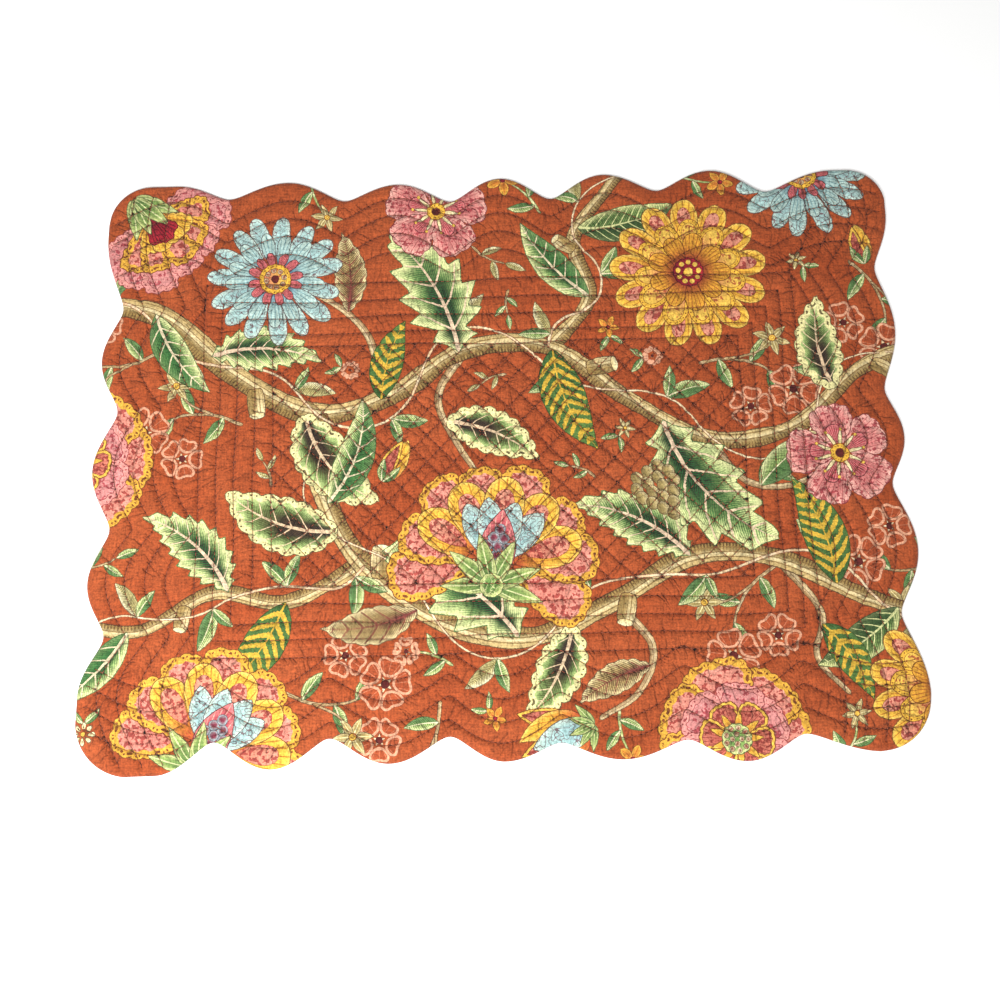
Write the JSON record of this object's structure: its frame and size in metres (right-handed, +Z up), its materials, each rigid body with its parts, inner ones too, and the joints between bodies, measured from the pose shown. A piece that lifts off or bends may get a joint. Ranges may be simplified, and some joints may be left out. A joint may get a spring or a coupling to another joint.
{
  "type": "quilted fabric placemat",
  "caption": "Flat rectangular quilted cotton placemat with a scalloped knife edge, echo quilting round the border and a diamond-quilted middle.",
  "frame": {"origin": "middle of the mat's box on the surface that it lies on", "axes": "+X along the long side, +Y towards the back edge, +Z up through the printed top"},
  "size_m": [0.4606, 0.3412, 0.0033],
  "materials": {
    "printed_cotton": "printed plain-weave cotton, matt, washed soft, burnt-orange ground with a many-coloured flower print"
  },
  "bodies": {
    "root": {"quilted_mat": "printed_cotton"}
  },
  "joints": []
}
